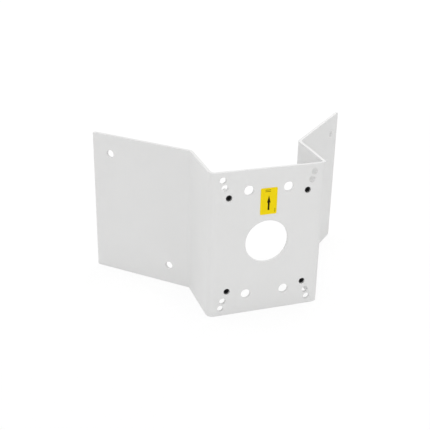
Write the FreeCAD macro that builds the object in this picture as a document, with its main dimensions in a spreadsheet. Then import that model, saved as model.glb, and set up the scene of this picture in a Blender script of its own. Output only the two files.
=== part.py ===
import FreeCAD, Part
import math
import os
import Sketcher
from FreeCAD import Placement, Rotation, Vector

# A corner bracket for an outdoor camera, folded from one sheet of powder-coated steel.
# The plate faces -Y, the wings reach back and outward on both sides of a wall's corner,
# and +Z is up. The origin is the centre of the plate's front face, on the cable hole's axis.

# Driving sizes in millimetres and degrees
SIZES = [
    ("sheet_height", 170.0, "height of the sheet, bottom edges to top edges"),
    ("sheet_thickness", 3.5, "steel and powder coat together"),
    ("plate_width", 132.5, "over the outer faces of the two webs"),
    ("web_depth", 72.0, "front face of the plate to the corner where the wing leaves the web"),
    ("wing_length", 126.3, "that corner to the free edge of the wing, on its front side"),
    ("wing_angle", 45.0, "wing to the plane of the plate"),
    ("bend_radius", 4.0, "inside radius of all four bends"),
    ("corner_radius", 1.5, "free corners of the wings"),
    ("edge_chamfer", 0.35, "width of the chamfer that breaks the cut edges, the screw holes apart"),
    ("cable_hole", 49.4, "diameter of the cable hole in the middle of the plate"),
    ("arm_hole", 11.0, "diameter of the four holes nearest to the middle line"),
    ("arm_hole_across", 45.0, "spacing of those holes along X"),
    ("arm_hole_up", 123.5, "spacing of those holes along Z"),
    ("corner_hole", 7.2, "diameter of the eight holes in the corners of the plate"),
    ("outer_hole_side", 14.65, "the outer four from the outer face of the web beside them"),
    ("outer_hole_rim", 9.05, "the outer four from the nearest top or bottom edge"),
    ("inner_hole_side", 16.85, "the inner four from the outer face of the web beside them"),
    ("hole_land", 1.6, "metal between the outer and the inner holes, along Z"),
    ("wall_hole", 9.0, "diameter of the wall holes in the wings"),
    ("wall_hole_edge", 22.8, "outer wall hole from the free edge of its wing"),
    ("wall_hole_bend", 27.0, "inner wall hole from the corner where the wing leaves the web"),
    ("wall_hole_rim", 22.6, "wall holes from the nearest top or bottom edge"),
    ("nut_side", 21.5, "axis of a nut from the outer face of the web beside it"),
    ("nut_rim", 29.5, "axis of a nut from the nearest top or bottom edge"),
    ("nut_flats", 10.0, "width of a nut across its flats"),
    ("nut_height", 12.0, "height of a nut off the back of the plate"),
    ("nut_land", 9.5, "diameter of the flat end that the corner chamfer leaves on a nut"),
    ("nut_chamfer_angle", 30.0, "angle between that chamfer and the flat end"),
    ("thread_size", 6.0, "outside diameter of a set screw"),
    ("thread_clearance", 0.05, "radial clearance of a set screw in its nut"),
    ("sheet_clearance", 0.6, "radial clearance of a set screw in the plate"),
    ("screw_length", 10.0, "length of a set screw"),
    ("screw_recess", 1.0, "front end of a set screw below the face of the plate"),
    ("screw_chamfer", 0.5, "chamfer at the front end of a set screw"),
    ("cup_rim", 3.0, "diameter of the cup point's rim"),
    ("cup_angle", 31.0, "angle between the cup's wall and the plane of its rim"),
    ("socket_flats", 3.0, "width of the hexagon socket across its flats"),
    ("socket_depth", 3.5, "depth of the hexagon socket"),
    ("socket_mouth", 3.8, "diameter of the countersink at the mouth of the socket"),
    ("label_width", 19.0, "width of the label"),
    ("label_height", 30.5, "height of the label"),
    ("label_gap", 7.55, "lower edge of the label above the rim of the cable hole"),
    ("label_thickness", 0.25, "thickness of the label"),
    ("label_corner", 1.5, "radius of the label's corners"),
]

NEAR = 1e-4
SHARP = math.radians(45.0)

doc = FreeCAD.newDocument("corner_bracket")
sizes = doc.addObject("Spreadsheet::Sheet", "sizes")
for row, (alias, value, meaning) in enumerate(SIZES, 1):
    sizes.set(f"A{row}", meaning)
    sizes.set(f"B{row}", str(value))
    sizes.setAlias(f"B{row}", alias)
doc.recompute()


def size(alias):
    """A driving size, read from the sheet."""
    return float(sizes.get(alias))


def new_body(label):
    """An empty body that carries the sub-part's name."""
    body = doc.addObject("PartDesign::Body", label)
    body.Label = label
    return body


def origin_feature(body, role):
    """One of the body's own origin planes or axes."""
    return next(item for item in body.Origin.OriginFeatures if item.Role == role)


def new_sketch(body, name, role, shift=None):
    """A sketch on an origin plane, shifted by formulas for its own x, y and z."""
    sketch = body.newObject("Sketcher::SketchObject", name)
    sketch.AttachmentSupport = [(origin_feature(body, role), "")]
    sketch.MapMode = "FlatFace"
    for axis, formula in (shift or {}).items():
        sketch.setExpression(f"AttachmentOffset.Base.{axis}", formula)
    doc.recompute()
    return sketch


def tie(sketch, kind, places, formula):
    """A measured constraint that follows a formula of the driving sizes."""
    value = float(sketch.evalExpression(formula))
    if kind == "Angle":
        value = math.radians(value)
    index = sketch.addConstraint(Sketcher.Constraint(kind, *places, value))
    sketch.setExpression(f"Constraints[{index}]", formula)


def outline(sketch, points):
    """Straight lines through the points, joined end to end and closed."""
    corners = [Vector(x, y, 0) for x, y in points]
    following = corners[1:] + corners[:1]
    sketch.addGeometry([Part.LineSegment(a, b) for a, b in zip(corners, following)], False)
    lines = list(range(len(corners)))
    for line, after in zip(lines, lines[1:] + lines[:1]):
        sketch.addConstraint(Sketcher.Constraint("Coincident", line, 2, after, 1))
    return lines


def circle(sketch, diameter, x="0", y="0"):
    """A circle whose diameter and centre follow formulas."""
    centre = Vector(float(sketch.evalExpression(x)), float(sketch.evalExpression(y)), 0)
    radius = float(sketch.evalExpression(diameter)) / 2
    index = sketch.addGeometry(Part.Circle(centre, Vector(0, 0, 1), radius), False)
    tie(sketch, "Diameter", (index,), diameter)
    if x == "0" and y == "0":
        sketch.addConstraint(Sketcher.Constraint("Coincident", index, 3, -1, 1))
    else:
        tie(sketch, "DistanceX", (-1, 1, index, 3), x)
        tie(sketch, "DistanceY", (-1, 1, index, 3), y)


def hexagon(sketch, flats):
    """A regular hexagon about the sketch's origin, with two corners on its y axis."""
    corner = float(sketch.evalExpression(f"{flats} / cos(30)")) / 2
    turns = [math.radians(angle) for angle in range(30, 390, 60)]
    lines = outline(sketch, [(corner * math.cos(turn), corner * math.sin(turn)) for turn in turns])
    guide = sketch.addGeometry(Part.Circle(Vector(0, 0, 0), Vector(0, 0, 1), corner), True)
    sketch.addConstraint(Sketcher.Constraint("Coincident", guide, 3, -1, 1))
    tie(sketch, "Diameter", (guide,), f"{flats} / cos(30)")
    for line in lines:
        sketch.addConstraint(Sketcher.Constraint("PointOnObject", line, 1, guide))
    for line in lines[1:]:
        sketch.addConstraint(Sketcher.Constraint("Equal", lines[0], line))
    sketch.addConstraint(Sketcher.Constraint("Vertical", lines[2]))


def pad(body, name, sketch, length, **settings):
    """A pad of the sketch, with its length tied to the driving sizes."""
    feature = body.newObject("PartDesign::Pad", name)
    feature.Profile = sketch
    for key, value in settings.items():
        setattr(feature, key, value)
    feature.setExpression("Length", length)
    doc.recompute()
    return feature


def pocket(body, name, sketch, depth=None):
    """A pocket behind the sketch, through everything unless a depth is given."""
    before = body.Tip.Shape.Volume
    feature = body.newObject("PartDesign::Pocket", name)
    feature.Profile = sketch
    if depth is None:
        feature.Type = "ThroughAll"
    else:
        feature.setExpression("Length", depth)
    doc.recompute()
    if feature.Shape.Volume > before - NEAR:
        raise RuntimeError(f"{name} cuts nothing")
    return feature


def turned(body, kind, name, sketch):
    """A revolution or groove of the sketch about its own upright axis."""
    feature = body.newObject(kind, name)
    feature.Profile = sketch
    feature.ReferenceAxis = (sketch, ["V_Axis"])
    feature.Angle = 360.0
    doc.recompute()
    return feature


def fillet(body, name, edges, radius):
    """Rounds edges of the body's last shape."""
    feature = body.newObject("PartDesign::Fillet", name)
    feature.Base = (feature.BaseFeature, edges)
    feature.setExpression("Radius", radius)
    doc.recompute()
    return feature


def between_webs(margin):
    """Spacing along X of what lies a margin inside the outer face of each web."""
    return f"(sizes.plate_width - 2 * sizes.{margin})"


def between_edges(margin):
    """Spacing along Z of what lies a margin inside the top edge and the bottom edge."""
    return f"(sizes.sheet_height - 2 * sizes.{margin})"


def rectangle_pattern(body, name, originals, across, up):
    """Repeats features, or the whole shape, at the four corners of a rectangle."""
    pattern = body.newObject("PartDesign::LinearPattern", name)
    if originals:
        pattern.Originals = originals
    else:
        pattern.TransformMode = "Whole shape"
    pattern.Direction = (origin_feature(body, "X_Axis"), [""])
    pattern.Direction2 = (origin_feature(body, "Z_Axis"), [""])
    pattern.Occurrences = 2
    pattern.Occurrences2 = 2
    pattern.setExpression("Length", across)
    pattern.setExpression("Length2", up)
    body.Tip = pattern
    doc.recompute()
    return pattern


def chamfer(body, name, edges, width):
    """Breaks edges of the body's last shape at 45 degrees."""
    feature = body.newObject("PartDesign::Chamfer", name)
    feature.Base = (feature.BaseFeature, edges)
    feature.setExpression("Size", width)
    doc.recompute()
    return feature


def upright_edges(shape, corners):
    """Names of the upright edges that stand on the given corners of the profile."""
    names = []
    for number, edge in enumerate(shape.Edges, 1):
        ends = [vertex.Point for vertex in edge.Vertexes]
        for corner in corners:
            if len(ends) == 2 and all(math.hypot(p.x - corner.x, p.y - corner.y) < NEAR for p in ends):
                names.append(f"Edge{number}")
    return names


def edges_between(shape, start, end):
    """Names of the level edges that run from one corner of the profile to another."""
    names = []
    for number, edge in enumerate(shape.Edges, 1):
        ends = [vertex.Point for vertex in edge.Vertexes]
        if len(ends) != 2 or abs(ends[0].z - ends[1].z) > NEAR:
            continue
        for first, second in (ends, ends[::-1]):
            off_start = math.hypot(first.x - start.x, first.y - start.y)
            off_end = math.hypot(second.x - end.x, second.y - end.y)
            if off_start < NEAR and off_end < NEAR:
                names.append(f"Edge{number}")
    return names


def sharp_edges(shape):
    """Names of the edges where two faces meet at a clear angle."""
    names = []
    for number, edge in enumerate(shape.Edges, 1):
        faces = shape.ancestorsOfType(edge, Part.Face)
        if len(faces) != 2:
            continue
        middle = edge.valueAt((edge.FirstParameter + edge.LastParameter) / 2)
        normals = [face.normalAt(*face.Surface.parameter(middle)) for face in faces]
        if normals[0].getAngle(normals[1]) > SHARP:
            names.append(f"Edge{number}")
    return names


def folded_profile(body):
    """The right half of the sheet's section, with sharp corners where the bends will be."""
    sketch = new_sketch(body, "folded_profile", "XY_Plane")
    half, thick = size("plate_width") / 2, size("sheet_thickness")
    deep, reach = size("web_depth"), size("wing_length")
    slope = math.radians(size("wing_angle"))
    along = Vector(math.cos(slope), math.sin(slope), 0)
    back = Vector(-math.sin(slope), math.cos(slope), 0)
    wing_root = Vector(half, deep, 0)
    wing_end = wing_root + along * reach
    wing_back = wing_end + back * thick
    inner_root = wing_back - along * ((wing_back.x - half + thick) / along.x)
    points = [(0, 0), (half, 0), (half, deep), (wing_end.x, wing_end.y), (wing_back.x, wing_back.y),
              (inner_root.x, inner_root.y), (half - thick, thick), (0, thick)]
    front, web, wing, end, wing_rear, web_inner, plate_rear, middle = outline(sketch, points)
    sketch.addConstraint(Sketcher.Constraint("Coincident", front, 1, -1, 1))
    for line in (front, plate_rear):
        sketch.addConstraint(Sketcher.Constraint("Horizontal", line))
    for line in (web, web_inner, middle):
        sketch.addConstraint(Sketcher.Constraint("Vertical", line))
    sketch.addConstraint(Sketcher.Constraint("Parallel", wing, wing_rear))
    sketch.addConstraint(Sketcher.Constraint("Perpendicular", wing, end))
    tie(sketch, "Distance", (front,), "sizes.plate_width / 2")
    tie(sketch, "Distance", (web,), "sizes.web_depth")
    tie(sketch, "Distance", (wing,), "sizes.wing_length")
    tie(sketch, "Angle", (-1, 1, wing, 1), "sizes.wing_angle")
    tie(sketch, "Distance", (end,), "sizes.sheet_thickness")
    tie(sketch, "Distance", (middle,), "sizes.sheet_thickness")
    tie(sketch, "DistanceX", (web_inner, 2, web, 1), "sizes.sheet_thickness")
    doc.recompute()
    return sketch


def bracket_plate():
    """The folded sheet: plate, two webs and two wings, with every hole."""
    body = new_body("bracket_plate")
    profile = folded_profile(body)
    pad(body, "half_sheet", profile, "sizes.sheet_height", SideType="Symmetric")
    start = [line.StartPoint for line in profile.Geometry]
    plate_bend, wing_bend, wing_end, wing_back, wing_inner, plate_inner = start[1:7]

    # Each bend has one centre, so its outside radius is larger by the sheet's thickness
    inside = upright_edges(body.Tip.Shape, [plate_inner, wing_bend])
    fillet(body, "inside_bends", inside, "sizes.bend_radius")
    outside = upright_edges(body.Tip.Shape, [plate_bend, wing_inner])
    fillet(body, "outside_bends", outside, "sizes.bend_radius + sizes.sheet_thickness")
    corners = edges_between(body.Tip.Shape, wing_end, wing_back)
    fillet(body, "free_corners", corners, "sizes.corner_radius")
    wall_holes(body)

    mirrored = body.newObject("PartDesign::Mirrored", "both_halves")
    mirrored.TransformMode = "Whole shape"
    mirrored.MirrorPlane = (origin_feature(body, "YZ_Plane"), [""])
    body.Tip = mirrored
    doc.recompute()

    cable = new_sketch(body, "cable_hole_sketch", "XZ_Plane")
    circle(cable, "sizes.cable_hole")
    pocket(body, "cable_hole_cut", cable)
    plate_holes(body, "arm_holes", "sizes.arm_hole", "sizes.arm_hole_across", "sizes.arm_hole_up")
    outer_up = between_edges("outer_hole_rim")
    inner_up = f"({outer_up} - 2 * (sizes.corner_hole + sizes.hole_land))"
    plate_holes(body, "outer_holes", "sizes.corner_hole", between_webs("outer_hole_side"), outer_up)
    plate_holes(body, "inner_holes", "sizes.corner_hole", between_webs("inner_hole_side"), inner_up)
    chamfer(body, "cut_edges", sharp_edges(body.Tip.Shape), "sizes.edge_chamfer")
    plate_holes(body, "screw_holes", "sizes.thread_size + 2 * sizes.sheet_clearance",
                between_webs("nut_side"), between_edges("nut_rim"))
    return body


def wall_holes(body):
    """One wall hole high near the wing's free edge and one low near its bend."""
    shift = {"x": "sizes.plate_width / 2", "z": "-sizes.web_depth"}
    sketch = new_sketch(body, "wall_hole_sketch", "XZ_Plane", shift)
    turn = Rotation(Vector(0, 1, 0), size("wing_angle"))
    sketch.AttachmentOffset = Placement(sketch.AttachmentOffset.Base, turn)
    sketch.setExpression("AttachmentOffset.Rotation.Angle", "sizes.wing_angle")
    up = between_edges("wall_hole_rim")
    circle(sketch, "sizes.wall_hole", "sizes.wing_length - sizes.wall_hole_edge", f"{up} / 2")
    circle(sketch, "sizes.wall_hole", "sizes.wall_hole_bend", f"-{up} / 2")
    pocket(body, "wall_hole_cut", sketch)


def plate_holes(body, name, diameter, across, up):
    """Four holes at the corners of a rectangle about the plate's centre."""
    sketch = new_sketch(body, f"{name}_sketch", "XZ_Plane")
    circle(sketch, diameter, f"-{across} / 2", f"-{up} / 2")
    first = pocket(body, f"{name}_first", sketch)
    rectangle_pattern(body, name, [first], across, up)


def nut_axis(depth):
    """Shift of an XZ sketch to the lower left nut's axis, at a depth behind the plate's face."""
    across, up = between_webs("nut_side"), between_edges("nut_rim")
    return {"x": f"-{across} / 2", "y": f"-{up} / 2", "z": f"-({depth})"}


def nut_section():
    """Shift of an XY sketch so that its own upright axis is the lower left nut's axis."""
    across, up = between_webs("nut_side"), between_edges("nut_rim")
    return {"x": f"-{across} / 2", "z": f"-{up} / 2"}


def weld_nuts():
    """Four hexagon nuts, seated on the back of the plate over the screw holes."""
    body = new_body("weld_nuts")
    blank = new_sketch(body, "nut_blank", "XZ_Plane", nut_axis("sizes.sheet_thickness"))
    hexagon(blank, "sizes.nut_flats")
    pad(body, "nut_pad", blank, "sizes.nut_height", Reversed=True)
    groove = new_sketch(body, "nut_chamfer_sketch", "XY_Plane", nut_section())
    rear = size("sheet_thickness") + size("nut_height")
    land, wide = size("nut_land") / 2, size("nut_flats")
    drop = (wide - land) * math.tan(math.radians(size("nut_chamfer_angle")))
    top, side, slope = outline(groove, [(land, rear), (wide, rear), (wide, rear - drop)])
    groove.addConstraint(Sketcher.Constraint("Horizontal", top))
    groove.addConstraint(Sketcher.Constraint("Vertical", side))
    tie(groove, "DistanceX", (-1, 1, top, 1), "sizes.nut_land / 2")
    tie(groove, "DistanceX", (-1, 1, top, 2), "sizes.nut_flats")
    tie(groove, "DistanceY", (-1, 1, top, 1), "sizes.sheet_thickness + sizes.nut_height")
    tie(groove, "Angle", (top, 1, slope, 2), "-sizes.nut_chamfer_angle")
    turned(body, "PartDesign::Groove", "nut_chamfer", groove)
    bore = new_sketch(body, "nut_bore_sketch", "XZ_Plane", nut_axis("sizes.sheet_thickness"))
    circle(bore, "sizes.thread_size + 2 * sizes.thread_clearance")
    pocket(body, "nut_bore", bore)
    rectangle_pattern(body, "four_nuts", [], between_webs("nut_side"), between_edges("nut_rim"))
    return body


def screw_profile(body):
    """Half the section of a set screw: chamfered front end, body and cup point."""
    sketch = new_sketch(body, "screw_profile", "XY_Plane", nut_section())
    radius, rim = size("thread_size") / 2, size("cup_rim") / 2
    front, chamfer = size("screw_recess"), size("screw_chamfer")
    rear = front + size("screw_length")
    cup = rim * math.tan(math.radians(size("cup_angle")))
    points = [(0, front), (radius - chamfer, front), (radius, front + chamfer), (radius, rear - radius + rim),
              (rim, rear), (0, rear - cup)]
    face, front_slope, side, point_slope, cup_wall, axis = outline(sketch, points)
    sketch.addConstraint(Sketcher.Constraint("Horizontal", face))
    for line in (side, axis):
        sketch.addConstraint(Sketcher.Constraint("Vertical", line))
    sketch.addConstraint(Sketcher.Constraint("PointOnObject", face, 1, -2))
    tie(sketch, "DistanceY", (-1, 1, face, 1), "sizes.screw_recess")
    tie(sketch, "DistanceX", (-1, 1, side, 1), "sizes.thread_size / 2")
    tie(sketch, "DistanceX", (face, 2, side, 1), "sizes.screw_chamfer")
    tie(sketch, "DistanceY", (face, 2, side, 1), "sizes.screw_chamfer")
    tie(sketch, "DistanceY", (face, 2, point_slope, 2), "sizes.screw_length")
    tie(sketch, "DistanceX", (-1, 1, point_slope, 2), "sizes.cup_rim / 2")
    tie(sketch, "DistanceY", (side, 2, point_slope, 2), "sizes.thread_size / 2 - sizes.cup_rim / 2")
    tie(sketch, "DistanceY", (cup_wall, 2, cup_wall, 1), "sizes.cup_rim / 2 * tan(sizes.cup_angle)")
    doc.recompute()
    return sketch


def set_screws():
    """Four set screws with hexagon sockets, one in each nut, just below the face of the plate."""
    body = new_body("set_screws")
    turned(body, "PartDesign::Revolution", "screw_blank", screw_profile(body))
    socket = new_sketch(body, "socket_sketch", "XZ_Plane", nut_axis("sizes.screw_recess"))
    hexagon(socket, "sizes.socket_flats")
    pocket(body, "socket", socket, "sizes.socket_depth")
    mouth = new_sketch(body, "socket_mouth_sketch", "XY_Plane", nut_section())
    front, wide = size("screw_recess"), size("socket_mouth") / 2
    face, slope, axis = outline(mouth, [(0, front), (wide, front), (0, front + wide)])
    mouth.addConstraint(Sketcher.Constraint("Horizontal", face))
    mouth.addConstraint(Sketcher.Constraint("Vertical", axis))
    mouth.addConstraint(Sketcher.Constraint("PointOnObject", face, 1, -2))
    mouth.addConstraint(Sketcher.Constraint("Equal", face, axis))
    tie(mouth, "DistanceY", (-1, 1, face, 1), "sizes.screw_recess")
    tie(mouth, "Distance", (face,), "sizes.socket_mouth / 2")
    turned(body, "PartDesign::Groove", "socket_mouth", mouth)
    rectangle_pattern(body, "four_screws", [], between_webs("nut_side"), between_edges("nut_rim"))
    return body


def direction_label():
    """The label on the front of the plate, above the cable hole."""
    body = new_body("direction_label")
    rise = "sizes.cable_hole / 2 + sizes.label_gap + sizes.label_height / 2"
    sketch = new_sketch(body, "label_sketch", "XZ_Plane", {"y": rise})
    right, top = size("label_width") / 2, size("label_height") / 2
    bottom_line, right_line, top_line, left_line = outline(
        sketch, [(-right, -top), (right, -top), (right, top), (-right, top)])
    for line in (bottom_line, top_line):
        sketch.addConstraint(Sketcher.Constraint("Horizontal", line))
    for line in (right_line, left_line):
        sketch.addConstraint(Sketcher.Constraint("Vertical", line))
    sketch.addConstraint(Sketcher.Constraint("Symmetric", bottom_line, 1, top_line, 1, -1, 1))
    tie(sketch, "Distance", (bottom_line,), "sizes.label_width")
    tie(sketch, "Distance", (right_line,), "sizes.label_height")
    pad(body, "label_pad", sketch, "sizes.label_thickness")
    short = [f"Edge{number}" for number, edge in enumerate(body.Tip.Shape.Edges, 1)
             if abs(edge.Length - size("label_thickness")) < NEAR]
    fillet(body, "label_corners", short, "sizes.label_corner")
    return body


def check(body, solids):
    """Stops the build if a feature has failed or the shape isn't what it should be."""
    for item in [body] + body.Group:
        if "Invalid" in item.State or "Error" in item.State:
            raise RuntimeError(f"{body.Label}: {item.Name} has failed")
    shape = body.Shape
    if shape.isNull() or not shape.isValid() or len(shape.Solids) != solids:
        raise RuntimeError(f"{body.Label}: the shape is not {solids} sound solids")
    box = shape.BoundBox
    print(f"{body.Label}: {len(shape.Solids)} solids, {shape.Volume:.1f} mm3, "
          f"{box.XLength:.2f} x {box.YLength:.2f} x {box.ZLength:.2f} mm")


sub_parts = [(bracket_plate(), 1), (weld_nuts(), 4), (set_screws(), 4), (direction_label(), 1)]
doc.recompute()
for sub_part, count in sub_parts:
    check(sub_part, count)

os.makedirs("parts", exist_ok=True)
for sub_part, count in sub_parts:
    sub_part.Shape.exportStep(f"parts/{sub_part.Label}.step")
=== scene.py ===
import math

import bmesh
import bpy
from mathutils import Matrix, Vector


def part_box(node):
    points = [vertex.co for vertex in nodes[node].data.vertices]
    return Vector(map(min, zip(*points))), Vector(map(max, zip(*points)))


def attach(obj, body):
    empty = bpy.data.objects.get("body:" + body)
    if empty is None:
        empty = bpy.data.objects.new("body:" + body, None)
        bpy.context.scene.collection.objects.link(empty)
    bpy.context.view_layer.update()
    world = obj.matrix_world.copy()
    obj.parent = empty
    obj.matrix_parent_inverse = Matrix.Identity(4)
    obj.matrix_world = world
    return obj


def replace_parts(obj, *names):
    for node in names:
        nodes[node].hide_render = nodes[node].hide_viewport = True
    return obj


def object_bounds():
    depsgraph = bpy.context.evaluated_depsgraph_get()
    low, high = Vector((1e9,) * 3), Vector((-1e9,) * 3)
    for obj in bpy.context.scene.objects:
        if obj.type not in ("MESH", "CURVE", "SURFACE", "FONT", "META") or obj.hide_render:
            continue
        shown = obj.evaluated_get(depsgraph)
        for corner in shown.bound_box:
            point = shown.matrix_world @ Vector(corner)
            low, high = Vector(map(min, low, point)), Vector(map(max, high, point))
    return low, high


# Looks of a camera corner mount bracket: a folded sheet with a powder coat, four nuts behind
# its plate, four black set screws and a yellow label with an arrow. Lengths are in metres,
# in the frame of the solids: the plate faces -Y and +Z is up.

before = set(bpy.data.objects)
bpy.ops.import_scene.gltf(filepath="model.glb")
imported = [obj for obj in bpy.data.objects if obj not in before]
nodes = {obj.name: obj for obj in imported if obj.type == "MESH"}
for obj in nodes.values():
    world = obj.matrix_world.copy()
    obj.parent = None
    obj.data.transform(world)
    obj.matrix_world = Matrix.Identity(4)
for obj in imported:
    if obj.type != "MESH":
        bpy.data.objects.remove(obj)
cad_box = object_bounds()

MM = 0.001

# The photograph's camera
FRAME_PIXELS = 430
SENSOR_WIDTH = 36.0
FOCAL_PIXELS = 853.1
OPTICAL_CENTRE_PIXELS = (241.0, 226.6)
CAMERA_PLACE = (-0.3192, -0.7708, 0.4029)
CAMERA_AZIMUTH = -20.534
CAMERA_ELEVATION = 24.864
CAMERA_ROLL = 1.926
CAMERA_REACH = 20.0

# The studio. What the camera sees of the floor is a faint tone that takes the shadow, lifted to white.
FLOOR_REACH = 6.0
FLOOR_TONE = 0.92
FLOOR_SHOWN_TONE = 0.15
FLOOR_LIFT_NEAR = 0.85
FLOOR_LIFT_FAR = 0.90
FLOOR_NEAR = 0.6
FLOOR_FAR = 2.0
WORLD_LIGHT = 0.70
LAMP_DISTANCE = 2.0
LAMP_SIZE = 1.1
LAMPS = {
    # Azimuth from the plate's front towards +X, elevation, watts
    "front_left_lamp": (-35.0, 5.0, 6.5),
    "front_right_lamp": (40.0, 8.0, 2.9),
    "right_rear_lamp": (135.0, 20.0, 8.2),
    "left_rear_lamp": (-135.0, 20.0, 5.0),
    "top_lamp": (0.0, 89.0, 11.8),
}

# Pale and dark ends of each material's mottling
COAT_TONES = (0.744, 0.744, 0.740), (0.728, 0.728, 0.724)
NUT_TONES = (0.736, 0.736, 0.732), (0.716, 0.716, 0.712)
BLACK_TONES = (0.016, 0.016, 0.017), (0.006, 0.006, 0.007)
YELLOW_TONES = (0.868, 0.668, 0.0068), (0.842, 0.644, 0.0060)
INK_TONES = (0.022, 0.016, 0.003), (0.014, 0.010, 0.002)
YELLOW_ROUGHNESS = (0.38, 0.48)
INK_ROUGHNESS = (0.5, 0.6)

# Print on the label. A share is a part of the label's height, from its lower edge.
INK_RISE = 0.03 * MM
ARROW_FOOT_SHARE = 0.163
ARROW_TIP_SHARE = 0.716
ARROW_HEAD_LENGTH = 8.3 * MM
ARROW_HEAD_HALF_WIDTH = 2.07 * MM
ARROW_SHAFT_HALF_WIDTH = 1.03 * MM
TOP_BAR_SHARES = (0.855, 0.913)
TOP_BAR_MIDDLE = -1.2 * MM
TOP_BAR_HALF_LENGTH = 3.1 * MM
TOP_BAR_HEIGHT = 0.55 * MM
SIDE_BAR_SHARES = (0.06, 0.22)
SIDE_BAR_INSET = 2.1 * MM
SIDE_BAR_HALF_WIDTH = 0.25 * MM

# Threads and hexagons of the nuts and set screws
ROUND_STEPS = 48
PITCH = 1.0 * MM
PITCH_STEPS = 10
THREAD_RADIUS = 3.0 * MM
THREAD_DEPTH = 0.55 * MM
THREAD_PLAY = 0.05 * MM
NUT_FLATS = 10.0 * MM
NUT_LAND_RADIUS = 4.75 * MM
NUT_CHAMFER = math.radians(30.0)
NUT_MOUTH_RADIUS = 3.3 * MM
SOCKET_FLATS = 3.0 * MM
SOCKET_DEPTH = 3.5 * MM
SOCKET_MOUTH_RADIUS = 1.9 * MM
SCREW_CHAMFER = 0.5 * MM
CUP_RADIUS = 1.5 * MM
CUP_ANGLE = math.radians(31.0)
CUP_FLAT_RADIUS = 0.15 * MM
SHARP_EDGE = math.radians(35.0)


def add_object(name, data):
    """Puts a mesh, camera or lamp in the scene."""
    thing = bpy.data.objects.new(name, data)
    bpy.context.scene.collection.objects.link(thing)
    return thing


def outward(azimuth, elevation):
    """Direction away from the object: azimuth 0 is -Y, and +X is at azimuth 90."""
    turn, tilt = math.radians(azimuth), math.radians(elevation)
    return Vector((math.sin(turn) * math.cos(tilt), -math.cos(turn) * math.cos(tilt), math.sin(tilt)))


def camera_axes(azimuth, elevation, roll):
    """Right, up and backward directions of a camera that looks along +Y at azimuth 0."""
    turn, lean = math.radians(azimuth), math.radians(roll)
    backward = outward(azimuth, elevation)
    level = Vector((math.cos(turn), math.sin(turn), 0.0))
    upright = backward.cross(level)
    right = math.cos(lean) * level + math.sin(lean) * upright
    up = math.cos(lean) * upright - math.sin(lean) * level
    return right, up, backward


def add_camera():
    """The camera with the photograph's perspective."""
    data = bpy.data.cameras.new("photo_camera")
    data.sensor_width = SENSOR_WIDTH
    data.lens = FOCAL_PIXELS / FRAME_PIXELS * SENSOR_WIDTH
    data.shift_x = (FRAME_PIXELS / 2 - OPTICAL_CENTRE_PIXELS[0]) / FRAME_PIXELS
    data.shift_y = (OPTICAL_CENTRE_PIXELS[1] - FRAME_PIXELS / 2) / FRAME_PIXELS
    data.clip_end = CAMERA_REACH
    camera = add_object("photo_camera", data)
    axes = Matrix(camera_axes(CAMERA_AZIMUTH, CAMERA_ELEVATION, CAMERA_ROLL)).transposed()
    camera.matrix_world = Matrix.Translation(CAMERA_PLACE) @ axes.to_4x4()
    bpy.context.scene.camera = camera


def add_node(tree, kind, **inputs):
    """Adds a shader node. The keywords are its inputs' values, with _ for a space in the name."""
    node = tree.nodes.new(kind)
    for key, value in inputs.items():
        node.inputs[key.replace("_", " ")].default_value = value
    return node


def mottled_material(name, noises, tint, sheen, reliefs, specular=0.5):
    """A material whose colour, roughness and relief follow noises.

    noises: scale, detail and roughness of each, by name
    tint: a noise, and the dark and the pale end of the colour, each a position and a colour
    sheen: a noise, and the least and the greatest roughness
    reliefs: from coarse to fine, each a noise, a strength and a depth
    """
    material = bpy.data.materials.new(name)
    material.use_nodes = True
    tree = material.node_tree
    shader = tree.nodes["Principled BSDF"]
    shader.inputs["Specular IOR Level"].default_value = specular
    place = add_node(tree, "ShaderNodeTexCoord")
    levels = {}
    for key, (scale, detail, roughness) in noises.items():
        noise = add_node(tree, "ShaderNodeTexNoise", Scale=scale, Detail=detail, Roughness=roughness)
        tree.links.new(place.outputs["Object"], noise.inputs["Vector"])
        levels[key] = noise.outputs["Fac"]

    source, *ends = tint
    ramp = add_node(tree, "ShaderNodeValToRGB")
    for element, (position, colour) in zip(ramp.color_ramp.elements, ends):
        element.position = position
        element.color = (*colour, 1.0)
    tree.links.new(levels[source], ramp.inputs["Fac"])
    tree.links.new(ramp.outputs["Color"], shader.inputs["Base Color"])

    source, least, greatest = sheen
    rough = add_node(tree, "ShaderNodeMapRange", To_Min=least, To_Max=greatest)
    tree.links.new(levels[source], rough.inputs["Value"])
    tree.links.new(rough.outputs["Result"], shader.inputs["Roughness"])

    before = None
    for source, strength, depth in reliefs:
        bump = add_node(tree, "ShaderNodeBump", Strength=strength, Distance=depth)
        tree.links.new(levels[source], bump.inputs["Height"])
        if before:
            tree.links.new(before.outputs["Normal"], bump.inputs["Normal"])
        before = bump
    tree.links.new(before.outputs["Normal"], shader.inputs["Normal"])
    return material


def powder_coat(name, pale, dark):
    """Satin powder coat: faint orange peel, finer grain and a hardly visible change of tone."""
    return mottled_material(
        name,
        noises={"peel": (620.0, 2.0, 0.45), "grain": (2600.0, 1.0, 0.5), "tone": (22.0, 4.0, 0.6)},
        tint=("tone", (0.3, dark), (0.7, pale)),
        sheen=("grain", 0.46, 0.58),
        reliefs=[("peel", 0.30, 0.06 * MM), ("grain", 0.35, 0.02 * MM)],
    )


def black_oxide(name, pale, dark):
    """Blackened steel with fine machining grain."""
    return mottled_material(
        name,
        noises={"grain": (3200.0, 3.0, 0.6)},
        tint=("grain", (0.35, dark), (0.75, pale)),
        sheen=("grain", 0.42, 0.6),
        reliefs=[("grain", 0.25, 0.02 * MM)],
        specular=0.20,
    )


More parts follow.
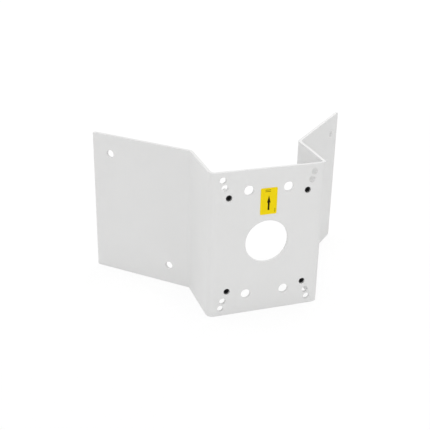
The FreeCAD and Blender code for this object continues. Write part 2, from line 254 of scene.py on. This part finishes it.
def printed_film(name, pale, dark, least_roughness, greatest_roughness):
    """Printed film: an even colour with slight mottling and a soft sheen."""
    return mottled_material(
        name,
        noises={"mottle": (380.0, 3.0, 0.55)},
        tint=("mottle", (0.3, dark), (0.7, pale)),
        sheen=("mottle", least_roughness, greatest_roughness),
        reliefs=[("mottle", 0.12, 0.03 * MM)],
        specular=0.05,
    )


def dress(node, material):
    """Gives every face of a solid the material."""
    mesh = nodes[node].data
    mesh.materials.clear()
    mesh.materials.append(material)


def new_piece(name, shape, material):
    """Turns an edited mesh into a piece of the object with one material."""
    bmesh.ops.recalc_face_normals(shape, faces=shape.faces)
    mesh = bpy.data.meshes.new(name)
    shape.to_mesh(mesh)
    shape.free()
    mesh.materials.append(material)
    piece = add_object(name, mesh)
    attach(piece, "root")
    return piece


def add_print(name, outlines, material):
    """Ink on the label: a thin prism for each outline in X and Z, half of it in the film."""
    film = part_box("direction_label")[0].y
    shape = bmesh.new()
    for outline in outlines:
        front = [shape.verts.new((x, film - INK_RISE, z)) for x, z in outline]
        back = [shape.verts.new((x, film + INK_RISE, z)) for x, z in outline]
        shape.faces.new(front)
        shape.faces.new(reversed(back))
        for corner in range(len(outline)):
            shape.faces.new((front[corner - 1], front[corner], back[corner], back[corner - 1]))
    new_piece(name, shape, material)


def bar(left, right, bottom, top):
    """The outline of an upright rectangle."""
    return [(left, bottom), (right, bottom), (right, top), (left, top)]


def arrow_outline(foot, tip):
    """The outline of an arrow that points up."""
    barb = tip - ARROW_HEAD_LENGTH
    right_side = [
        (ARROW_SHAFT_HALF_WIDTH, foot),
        (ARROW_SHAFT_HALF_WIDTH, barb),
        (ARROW_HEAD_HALF_WIDTH, barb),
        (0.0, tip),
    ]
    return right_side + [(-x, z) for x, z in reversed(right_side[:-1])]


def add_label_print():
    """The arrow, two plain bars above it and a thin one near the lower right corner."""
    low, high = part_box("direction_label")
    height = high.z - low.z
    ink = printed_film("black_ink", *INK_TONES, *INK_ROUGHNESS)
    arrow = arrow_outline(low.z + ARROW_FOOT_SHARE * height, low.z + ARROW_TIP_SHARE * height)
    add_print("label_arrow", [arrow], ink)
    bars = []
    left, right = TOP_BAR_MIDDLE - TOP_BAR_HALF_LENGTH, TOP_BAR_MIDDLE + TOP_BAR_HALF_LENGTH
    for share in TOP_BAR_SHARES:
        bottom = low.z + share * height
        bars.append(bar(left, right, bottom, bottom + TOP_BAR_HEIGHT))
    side = high.x - SIDE_BAR_INSET
    bottom, top = (low.z + share * height for share in SIDE_BAR_SHARES)
    bars.append(bar(side - SIDE_BAR_HALF_WIDTH, side + SIDE_BAR_HALF_WIDTH, bottom, top))
    add_print("label_bars", bars, ink)


def hexagon_radius(flats, turn):
    """Distance from the axis to a hexagon with two corners on the Z axis."""
    return flats / 2 / math.cos((turn + math.pi / 6) % (math.pi / 3) - math.pi / 6)


def thread_radius(y, turn):
    """Outer surface of a right-hand thread about an axis along Y."""
    phase = y / PITCH + turn / (2 * math.pi)
    return THREAD_RADIUS - THREAD_DEPTH * (0.5 - 0.5 * math.cos(2 * math.pi * phase))


def skin_rings(shape, axis, rings, closed):
    """Skins rings about an axis along Y. A ring gives the radius and the Y of each turn.

    A closed skin joins its last ring to its first, and an open one gets a face at both ends.
    """
    rows = []
    for ring in rings:
        row = []
        for step in range(ROUND_STEPS):
            turn = 2 * math.pi * step / ROUND_STEPS
            radius, y = ring(turn)
            place = (axis[0] + radius * math.cos(turn), y, axis[1] + radius * math.sin(turn))
            row.append(shape.verts.new(place))
        rows.append(row)
    following = rows[1:] + rows[:1] if closed else rows[1:]
    for near, far in zip(rows, following):
        for start, end in zip(range(ROUND_STEPS), [*range(1, ROUND_STEPS), 0]):
            shape.faces.new((near[start], near[end], far[end], far[start]))
    if not closed:
        shape.faces.new(rows[0])
        shape.faces.new(rows[-1])


def level_ring(radius, y):
    """A round ring at one height."""
    return lambda turn: (radius, y)


def thread_heights(start, end):
    """Heights at which a thread is skinned, from one end to the other."""
    steps = round(abs(end - start) / PITCH * PITCH_STEPS)
    return [start + (end - start) * step / steps for step in range(steps + 1)]


def screw_rings(front, rear):
    """Rings of a set screw, from the bottom of its socket round to the middle of its cup point."""
    def socket(turn):
        return hexagon_radius(SOCKET_FLATS, turn), front + SOCKET_DEPTH

    def socket_rim(turn):
        radius = hexagon_radius(SOCKET_FLATS, turn)
        return radius, front + SOCKET_MOUTH_RADIUS - radius

    def threaded(y):
        limit = min(THREAD_RADIUS - SCREW_CHAMFER + y - front, CUP_RADIUS + rear - y)
        return lambda turn: (min(thread_radius(y, turn), limit), y)

    cup_floor = rear - (CUP_RADIUS - CUP_FLAT_RADIUS) * math.tan(CUP_ANGLE)
    rings = [socket, socket_rim, level_ring(SOCKET_MOUTH_RADIUS, front)]
    rings += [threaded(y) for y in thread_heights(front, rear)]
    return rings + [level_ring(CUP_FLAT_RADIUS, cup_floor)]


def nut_rings(front, rear):
    """Rings of a nut: up its flats, over the chamfered end and down the threaded bore."""
    def foot(turn):
        return hexagon_radius(NUT_FLATS, turn), front

    def shoulder(turn):
        radius = hexagon_radius(NUT_FLATS, turn)
        return radius, rear - (radius - NUT_LAND_RADIUS) * math.tan(NUT_CHAMFER)

    def threaded(y):
        mouth = NUT_MOUTH_RADIUS - (rear - y)
        return lambda turn: (max(thread_radius(y, turn) + THREAD_PLAY, mouth), y)

    bore = [threaded(y) for y in thread_heights(rear, front)]
    return [foot, shoulder, level_ring(NUT_LAND_RADIUS, rear)] + bore


def add_four(name, node, rings, margin, closed, material):
    """Replaces a node of four alike solids, whose axes lie a margin inside its box."""
    low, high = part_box(node)
    shape = bmesh.new()
    for x in (low.x + margin[0], high.x - margin[0]):
        for z in (low.z + margin[1], high.z - margin[1]):
            skin_rings(shape, (x, z), rings(low.y, high.y), closed)
    for edge in shape.edges:
        edge.smooth = edge.calc_face_angle(0.0) < SHARP_EDGE
    for face in shape.faces:
        face.smooth = True
    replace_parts(new_piece(name, shape, material), node)


def seen_directly(tree):
    """A factor of 1 for what the camera sees, also in a mirror or through glass, and 0 for light."""
    path = add_node(tree, "ShaderNodeLightPath")
    factor = path.outputs["Is Camera Ray"]
    for ray in ("Is Glossy Ray", "Is Transmission Ray"):
        larger = add_node(tree, "ShaderNodeMath")
        larger.operation = "MAXIMUM"
        tree.links.new(factor, larger.inputs[0])
        tree.links.new(path.outputs[ray], larger.inputs[1])
        factor = larger.outputs["Value"]
    return factor


def show_apart(tree, lighting, shown, kind):
    """Ends a tree in one shader for light and another for what is seen directly."""
    mixer = add_node(tree, "ShaderNodeMixShader")
    output = add_node(tree, kind)
    tree.links.new(seen_directly(tree), mixer.inputs[0])
    tree.links.new(lighting, mixer.inputs[1])
    tree.links.new(shown, mixer.inputs[2])
    tree.links.new(mixer.outputs["Shader"], output.inputs["Surface"])


def floor_lift(tree):
    """The light that lifts the shown floor to white: a little more where it is far from the lamps."""
    place = add_node(tree, "ShaderNodeTexCoord")
    distance = add_node(tree, "ShaderNodeVectorMath")
    distance.operation = "LENGTH"
    tree.links.new(place.outputs["Object"], distance.inputs[0])
    near = {"From_Min": FLOOR_NEAR, "To_Min": FLOOR_LIFT_NEAR}
    far = {"From_Max": FLOOR_FAR, "To_Max": FLOOR_LIFT_FAR}
    fade = add_node(tree, "ShaderNodeMapRange", **near, **far)
    fade.interpolation_type = "SMOOTHSTEP"
    lift = add_node(tree, "ShaderNodeEmission")
    tree.links.new(distance.outputs["Value"], fade.inputs["Value"])
    tree.links.new(fade.outputs["Result"], lift.inputs["Strength"])
    return lift


def add_stage():
    """A plain floor, white to the camera as far as it reaches, that keeps a soft shadow of the object."""
    mesh = bpy.data.meshes.new("floor")
    level = cad_box[0][2]
    corners = [(-1, -1), (1, -1), (1, 1), (-1, 1)]
    mesh.from_pydata([(FLOOR_REACH * x, FLOOR_REACH * y, level) for x, y in corners], [], [(0, 1, 2, 3)])
    material = bpy.data.materials.new("floor")
    material.use_nodes = True
    tree = material.node_tree
    tree.nodes.clear()
    pale = add_node(tree, "ShaderNodeBsdfDiffuse", Color=(FLOOR_TONE, FLOOR_TONE, FLOOR_TONE, 1.0))
    shown_colour = (FLOOR_SHOWN_TONE, FLOOR_SHOWN_TONE, FLOOR_SHOWN_TONE, 1.0)
    shown = add_node(tree, "ShaderNodeBsdfDiffuse", Color=shown_colour)
    lifted = add_node(tree, "ShaderNodeAddShader")
    tree.links.new(shown.outputs["BSDF"], lifted.inputs[0])
    tree.links.new(floor_lift(tree).outputs["Emission"], lifted.inputs[1])
    show_apart(tree, pale.outputs["BSDF"], lifted.outputs["Shader"], "ShaderNodeOutputMaterial")
    mesh.materials.append(material)
    floor = add_object("floor", mesh)


def add_world():
    """Even pale light from all round, white where the camera sees it."""
    world = bpy.data.worlds.new("studio")
    bpy.context.scene.world = world
    world.use_nodes = True
    tree = world.node_tree
    tree.nodes.clear()
    white = (1.0, 1.0, 1.0, 1.0)
    light = add_node(tree, "ShaderNodeBackground", Color=white, Strength=WORLD_LIGHT)
    seen = add_node(tree, "ShaderNodeBackground", Color=white, Strength=1.0)
    show_apart(tree, light.outputs["Background"], seen.outputs["Background"], "ShaderNodeOutputWorld")


def add_lamps():
    """Square soft lamps, all at one distance from the middle of the object."""
    aim = Vector((0.0, (cad_box[0][1] + cad_box[1][1]) / 2, 0.0))
    for name, (azimuth, elevation, watts) in LAMPS.items():
        away = outward(azimuth, elevation)
        data = bpy.data.lights.new(name, "AREA")
        data.shape = "SQUARE"
        data.size = LAMP_SIZE
        data.energy = watts
        lamp = add_object(name, data)
        lamp.location = LAMP_DISTANCE * away + aim
        lamp.rotation_euler = (-away).to_track_quat("-Z", "Y").to_euler()


add_camera()
dress("bracket_plate", powder_coat("powder_coat", *COAT_TONES))
dress("direction_label", printed_film("yellow_film", *YELLOW_TONES, *YELLOW_ROUGHNESS))
add_label_print()
nut_coat = powder_coat("nut_coat", *NUT_TONES)
nut_margin = (NUT_FLATS / 2, hexagon_radius(NUT_FLATS, math.pi / 2))
add_four("threaded_nuts", "weld_nuts", nut_rings, nut_margin, True, nut_coat)
black_steel = black_oxide("black_oxide", *BLACK_TONES)
screw_margin = (THREAD_RADIUS, THREAD_RADIUS)
add_four("threaded_set_screws", "set_screws", screw_rings, screw_margin, False, black_steel)
add_stage()
add_world()
add_lamps()

bpy.context.scene.view_settings.view_transform = "Standard"
